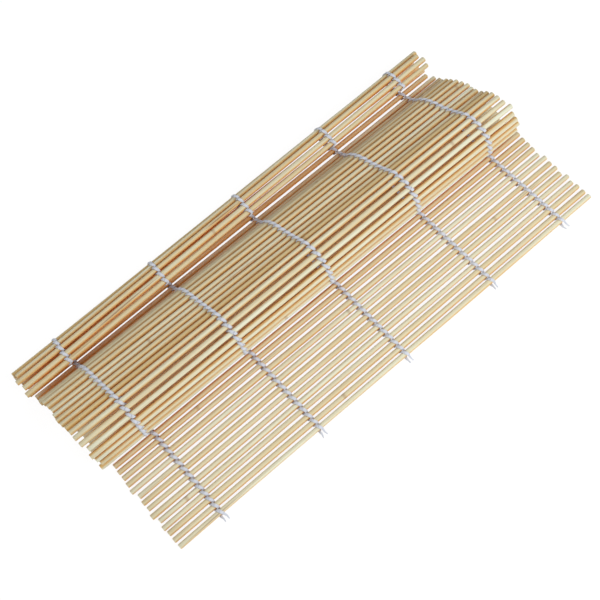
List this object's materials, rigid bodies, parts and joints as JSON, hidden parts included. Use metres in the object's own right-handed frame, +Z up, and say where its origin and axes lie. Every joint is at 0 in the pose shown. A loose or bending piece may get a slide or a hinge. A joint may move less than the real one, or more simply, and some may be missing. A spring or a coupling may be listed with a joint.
{
  "type": "sushi rolling mat",
  "caption": "Bamboo sushi rolling mat: round sticks twined together by cotton strings, lying half folded with a loose hump and its far edge rolled over.",
  "frame": {"origin": "On the table under the near edge's outer stick, at the middle of the flat sticks' length.", "axes": "+X along the flat sticks, +Y across the mat from its near edge to the folds, +Z up."},
  "size_m": [0.2497, 0.1143, 0.0287],
  "materials": {
    "bamboo": "smooth split bamboo, bare",
    "cotton": "twisted white cotton yarn"
  },
  "bodies": {
    "stick_01": {"stick_01": "bamboo"},
    "stick_02": {"stick_02": "bamboo"},
    "stick_03": {"stick_03": "bamboo"},
    "stick_04": {"stick_04": "bamboo"},
    "stick_05": {"stick_05": "bamboo"},
    "stick_06": {"stick_06": "bamboo"},
    "stick_07": {"stick_07": "bamboo"},
    "stick_08": {"stick_08": "bamboo"},
    "stick_09": {"stick_09": "bamboo"},
    "stick_10": {"stick_10": "bamboo"},
    "stick_11": {"stick_11": "bamboo"},
    "stick_12": {"stick_12": "bamboo"},
    "stick_13": {"stick_13": "bamboo"},
    "stick_14": {"stick_14": "bamboo"},
    "stick_15": {"stick_15": "bamboo"},
    "stick_16": {"stick_16": "bamboo"},
    "stick_17": {"stick_17": "bamboo", "strings": "cotton"},
    "stick_18": {"stick_18": "bamboo"},
    "stick_19": {"stick_19": "bamboo"},
    "stick_20": {"stick_20": "bamboo"},
    "stick_21": {"stick_21": "bamboo"},
    "stick_22": {"stick_22": "bamboo"},
    "stick_23": {"stick_23": "bamboo"},
    "stick_24": {"stick_24": "bamboo"},
    "stick_25": {"stick_25": "bamboo"},
    "stick_26": {"stick_26": "bamboo"},
    "stick_27": {"stick_27": "bamboo"},
    "stick_28": {"stick_28": "bamboo"},
    "stick_29": {"stick_29": "bamboo"},
    "stick_30": {"stick_30": "bamboo"},
    "stick_31": {"stick_31": "bamboo"},
    "stick_32": {"stick_32": "bamboo"},
    "stick_33": {"stick_33": "bamboo"},
    "stick_34": {"stick_34": "bamboo"},
    "stick_35": {"stick_35": "bamboo"},
    "stick_36": {"stick_36": "bamboo"},
    "stick_37": {"stick_37": "bamboo"},
    "stick_38": {"stick_38": "bamboo"},
    "stick_39": {"stick_39": "bamboo"},
    "stick_40": {"stick_40": "bamboo"},
    "stick_41": {"stick_41": "bamboo"},
    "stick_42": {"stick_42": "bamboo"},
    "stick_43": {"stick_43": "bamboo"},
    "stick_44": {"stick_44": "bamboo"},
    "stick_45": {"stick_45": "bamboo"},
    "stick_46": {"stick_46": "bamboo"},
    "stick_47": {"stick_47": "bamboo"},
    "stick_48": {"stick_48": "bamboo"},
    "stick_49": {"stick_49": "bamboo"},
    "stick_50": {"stick_50": "bamboo"},
    "stick_51": {"stick_51": "bamboo"},
    "stick_52": {"stick_52": "bamboo"},
    "stick_53": {"stick_53": "bamboo"},
    "stick_54": {"stick_54": "bamboo"},
    "stick_55": {"stick_55": "bamboo"},
    "stick_56": {"stick_56": "bamboo"},
    "stick_57": {"stick_57": "bamboo"}
  },
  "joints": [
    {"name": "weave_01", "type": "hinge", "parent": "stick_02", "child": "stick_01", "pos_m": [0, 0.00344, 0.00177], "axis": [-1, 0, 0], "range_deg": [-70, 70]},
    {"name": "weave_02", "type": "hinge", "parent": "stick_03", "child": "stick_02", "pos_m": [0, 0.00688, 0.00177], "axis": [1, 0, 0], "range_deg": [-70, 70]},
    {"name": "weave_03", "type": "hinge", "parent": "stick_04", "child": "stick_03", "pos_m": [0, 0.01032, 0.00177], "axis": [-1, 0, 0], "range_deg": [-70, 70]},
    {"name": "weave_04", "type": "hinge", "parent": "stick_05", "child": "stick_04", "pos_m": [0, 0.01376, 0.00177], "axis": [1, 0, 0], "range_deg": [-70, 70]},
    {"name": "weave_05", "type": "hinge", "parent": "stick_06", "child": "stick_05", "pos_m": [0, 0.0172, 0.00177], "axis": [-1, 0, 0], "range_deg": [-70, 70]},
    {"name": "weave_06", "type": "hinge", "parent": "stick_07", "child": "stick_06", "pos_m": [0, 0.02064, 0.00177], "axis": [1, 0, 0], "range_deg": [-70, 70]},
    {"name": "weave_07", "type": "hinge", "parent": "stick_08", "child": "stick_07", "pos_m": [0, 0.02408, 0.00177], "axis": [-1, 0, 0], "range_deg": [-70, 70]},
    {"name": "weave_08", "type": "hinge", "parent": "stick_09", "child": "stick_08", "pos_m": [0, 0.02752, 0.00177], "axis": [1, 0, 0], "range_deg": [-70, 70]},
    {"name": "weave_09", "type": "hinge", "parent": "stick_10", "child": "stick_09", "pos_m": [0, 0.03096, 0.00177], "axis": [-1, 0, 0], "range_deg": [-70, 70]},
    {"name": "weave_10", "type": "hinge", "parent": "stick_11", "child": "stick_10", "pos_m": [0, 0.0344, 0.00177], "axis": [1, 0, 0], "range_deg": [-70, 70]},
    {"name": "weave_11", "type": "hinge", "parent": "stick_12", "child": "stick_11", "pos_m": [0, 0.03784, 0.00177], "axis": [-1, 0, 0], "range_deg": [-70, 70]},
    {"name": "weave_12", "type": "hinge", "parent": "stick_13", "child": "stick_12", "pos_m": [0, 0.04128, 0.00177], "axis": [1, 0, 0], "range_deg": [-70, 70]},
    {"name": "weave_13", "type": "hinge", "parent": "stick_14", "child": "stick_13", "pos_m": [0, 0.04472, 0.00177], "axis": [-1, 0, 0], "range_deg": [-70, 70]},
    {"name": "weave_14", "type": "hinge", "parent": "stick_15", "child": "stick_14", "pos_m": [-0.0002, 0.04816, 0.00177], "axis": [1, 0, 0], "range_deg": [-47, 70]},
    {"name": "weave_15", "type": "hinge", "parent": "stick_16", "child": "stick_15", "pos_m": [-0.0004, 0.0516, 0.00177], "axis": [-1, 0, 0], "range_deg": [-70, 29]},
    {"name": "weave_16", "type": "hinge", "parent": "stick_17", "child": "stick_16", "pos_m": [-0.0006, 0.05504, 0.00177], "axis": [1, 0, 0], "range_deg": [-16, 70]},
    {"name": "weave_17", "type": "hinge", "parent": "stick_17", "child": "stick_18", "pos_m": [-0.0006, 0.05504, 0.00177], "axis": [1, 0, 0], "range_deg": [-70, 16], "deforming": ["strings"]},
    {"name": "weave_18", "type": "hinge", "parent": "stick_18", "child": "stick_19", "pos_m": [-0.0008, 0.05848, 0.00177], "axis": [-1, 0, 0], "range_deg": [-8, 70]},
    {"name": "weave_19", "type": "hinge", "parent": "stick_19", "child": "stick_20", "pos_m": [-0.001, 0.06192, 0.00177], "axis": [1, 0, 0], "range_deg": [-70, 5]},
    {"name": "weave_20", "type": "hinge", "parent": "stick_20", "child": "stick_21", "pos_m": [-0.0012, 0.06536, 0.00177], "axis": [-1, 0, 0], "range_deg": [-4, 102]},
    {"name": "weave_21", "type": "hinge", "parent": "stick_21", "child": "stick_22", "pos_m": [-0.0014, 0.06692, 0.00483], "axis": [1, 0, 0], "range_deg": [-113, 3]},
    {"name": "weave_22", "type": "hinge", "parent": "stick_22", "child": "stick_23", "pos_m": [-0.0016, 0.0649, 0.00762], "axis": [-1, 0, 0], "range_deg": [-4, 102]},
    {"name": "weave_23", "type": "hinge", "parent": "stick_23", "child": "stick_24", "pos_m": [-0.0018, 0.0615, 0.00708], "axis": [1, 0, 0], "range_deg": [-70, 5]},
    {"name": "weave_24", "type": "hinge", "parent": "stick_24", "child": "stick_25", "pos_m": [-0.002, 0.0581, 0.00654], "axis": [-1, 0, 0], "range_deg": [-8, 70]},
    {"name": "weave_25", "type": "hinge", "parent": "stick_25", "child": "stick_26", "pos_m": [-0.0022, 0.05471, 0.006], "axis": [1, 0, 0], "range_deg": [-70, 16]},
    {"name": "weave_26", "type": "hinge", "parent": "stick_26", "child": "stick_27", "pos_m": [-0.0024, 0.05131, 0.00547], "axis": [-1, 0, 0], "range_deg": [-33, 44]},
    {"name": "weave_27", "type": "hinge", "parent": "stick_27", "child": "stick_28", "pos_m": [-0.0026, 0.04802, 0.00646], "axis": [1, -0.0001, -0.0002], "range_deg": [-44, 71]},
    {"name": "weave_28", "type": "hinge", "parent": "stick_28", "child": "stick_29", "pos_m": [-0.0028, 0.04549, 0.0088], "axis": [-1, 0.0003, 0.0005], "range_deg": [-95, 34]},
    {"name": "weave_29", "type": "hinge", "parent": "stick_29", "child": "stick_30", "pos_m": [-0.003, 0.04424, 0.012], "axis": [1, -0.0008, -0.0007], "range_deg": [-26, 95]},
    {"name": "weave_30", "type": "hinge", "parent": "stick_30", "child": "stick_31", "pos_m": [-0.0032, 0.04451, 0.01543], "axis": [-1, 0.0016, 0.0006], "range_deg": [-81, 23]},
    {"name": "weave_31", "type": "hinge", "parent": "stick_31", "child": "stick_32", "pos_m": [-0.0034, 0.04543, 0.01874], "axis": [1, -0.0011, -0.0007], "range_deg": [-22, 81]},
    {"name": "weave_32", "type": "hinge", "parent": "stick_32", "child": "stick_33", "pos_m": [-0.0036, 0.04696, 0.02182], "axis": [-1, -0.0005, 0.0015], "range_deg": [-89, 22]},
    {"name": "weave_33", "type": "hinge", "parent": "stick_33", "child": "stick_34", "pos_m": [-0.0038, 0.04941, 0.02422], "axis": [1, 0.0018, -0.0029], "range_deg": [-22, 89]},
    {"name": "weave_34", "type": "hinge", "parent": "stick_34", "child": "stick_35", "pos_m": [-0.004, 0.05251, 0.02568], "axis": [-1, -0.0027, 0.0047], "range_deg": [-89, 24]},
    {"name": "weave_35", "type": "hinge", "parent": "stick_35", "child": "stick_36", "pos_m": [-0.0042, 0.05592, 0.02605], "axis": [1, 0.0029, -0.0069], "range_deg": [-28, 89]},
    {"name": "weave_36", "type": "hinge", "parent": "stick_36", "child": "stick_37", "pos_m": [-0.0044, 0.05926, 0.02529], "axis": [-1, -0.0024, 0.0092], "range_deg": [-89, 33]},
    {"name": "weave_37", "type": "hinge", "parent": "stick_37", "child": "stick_38", "pos_m": [-0.0046, 0.06217, 0.02347], "axis": [0.9999, 0.0011, -0.0113], "range_deg": [-40, 67]},
    {"name": "weave_38", "type": "hinge", "parent": "stick_38", "child": "stick_39", "pos_m": [-0.0048, 0.06516, 0.02178], "axis": [-0.9999, -0.0001, 0.0129], "range_deg": [-67, 49]},
    {"name": "weave_39", "type": "hinge", "parent": "stick_39", "child": "stick_40", "pos_m": [-0.005, 0.06821, 0.0202], "axis": [0.9999, -0.0004, -0.0141], "range_deg": [-56, 67]},
    {"name": "weave_40", "type": "hinge", "parent": "stick_40", "child": "stick_41", "pos_m": [-0.0052, 0.07133, 0.01875], "axis": [-0.9999, 0.0007, 0.0146], "range_deg": [-67, 58]},
    {"name": "weave_41", "type": "hinge", "parent": "stick_41", "child": "stick_42", "pos_m": [-0.0054, 0.0745, 0.01743], "axis": [0.9999, -0.0007, -0.0146], "range_deg": [-63, 67]},
    {"name": "weave_42", "type": "hinge", "parent": "stick_42", "child": "stick_43", "pos_m": [-0.0056, 0.07773, 0.01624], "axis": [-0.9999, 0.0005, 0.014], "range_deg": [-79, 60]},
    {"name": "weave_43", "type": "hinge", "parent": "stick_43", "child": "stick_44", "pos_m": [-0.0058, 0.0807, 0.01451], "axis": [0.9999, 0.0003, -0.0126], "range_deg": [-60, 79]},
    {"name": "weave_44", "type": "hinge", "parent": "stick_44", "child": "stick_45", "pos_m": [-0.006, 0.08332, 0.01231], "axis": [-0.9999, -0.0021, 0.0106], "range_deg": [-79, 60]},
    {"name": "weave_45", "type": "hinge", "parent": "stick_45", "child": "stick_46", "pos_m": [-0.0062, 0.08552, 0.0097], "axis": [1, 0.0049, -0.0082], "range_deg": [-60, 79]},
    {"name": "weave_46", "type": "hinge", "parent": "stick_46", "child": "stick_47", "pos_m": [-0.0064, 0.08723, 0.00677], "axis": [-0.9999, -0.009, 0.0058], "range_deg": [-55, 84]},
    {"name": "weave_47", "type": "hinge", "parent": "stick_47", "child": "stick_48", "pos_m": [-0.0066, 0.08965, 0.00437], "axis": [0.9999, 0.0115, -0.0033], "range_deg": [-84, 36]},
    {"name": "weave_48", "type": "hinge", "parent": "stick_48", "child": "stick_49", "pos_m": [-0.0068, 0.09262, 0.00266], "axis": [-0.9999, -0.0127, 0.0012], "range_deg": [-30, 84]},
    {"name": "weave_49", "type": "hinge", "parent": "stick_49", "child": "stick_50", "pos_m": [-0.007, 0.09672, 0.00157], "axis": [0.9999, 0.0131, 0.0002], "range_deg": [-84, 21]},
    {"name": "weave_50", "type": "hinge", "parent": "stick_50", "child": "stick_51", "pos_m": [-0.0072, 0.10016, 0.00157], "axis": [-0.9999, -0.0131, -0.0002], "range_deg": [-20, 70]},
    {"name": "weave_51", "type": "hinge", "parent": "stick_51", "child": "stick_52", "pos_m": [-0.0074, 0.1036, 0.00157], "axis": [0.9999, 0.0131, 0.0002], "range_deg": [-112, 16]},
    {"name": "weave_52", "type": "hinge", "parent": "stick_52", "child": "stick_53", "pos_m": [-0.0076, 0.10613, 0.00388], "axis": [-0.9999, -0.0144, 0.0013], "range_deg": [-16, 112]},
    {"name": "weave_53", "type": "hinge", "parent": "stick_53", "child": "stick_54", "pos_m": [-0.0078, 0.10645, 0.00727], "axis": [0.9998, 0.0184, -0.0016], "range_deg": [-112, 22]},
    {"name": "weave_54", "type": "hinge", "parent": "stick_54", "child": "stick_55", "pos_m": [-0.008, 0.10443, 0.00996], "axis": [-0.9997, -0.0231, -0.002], "range_deg": [-33, 94]},
    {"name": "weave_55", "type": "hinge", "parent": "stick_55", "child": "stick_56", "pos_m": [-0.0082, 0.10142, 0.01157], "axis": [0.9997, 0.0248, 0.0051], "range_deg": [-94, 45]},
    {"name": "weave_56", "type": "hinge", "parent": "stick_56", "child": "stick_57", "pos_m": [-0.0084, 0.09799, 0.01178], "axis": [-0.9997, -0.0249, -0.0064], "range_deg": [-60, 80]}
  ]
}
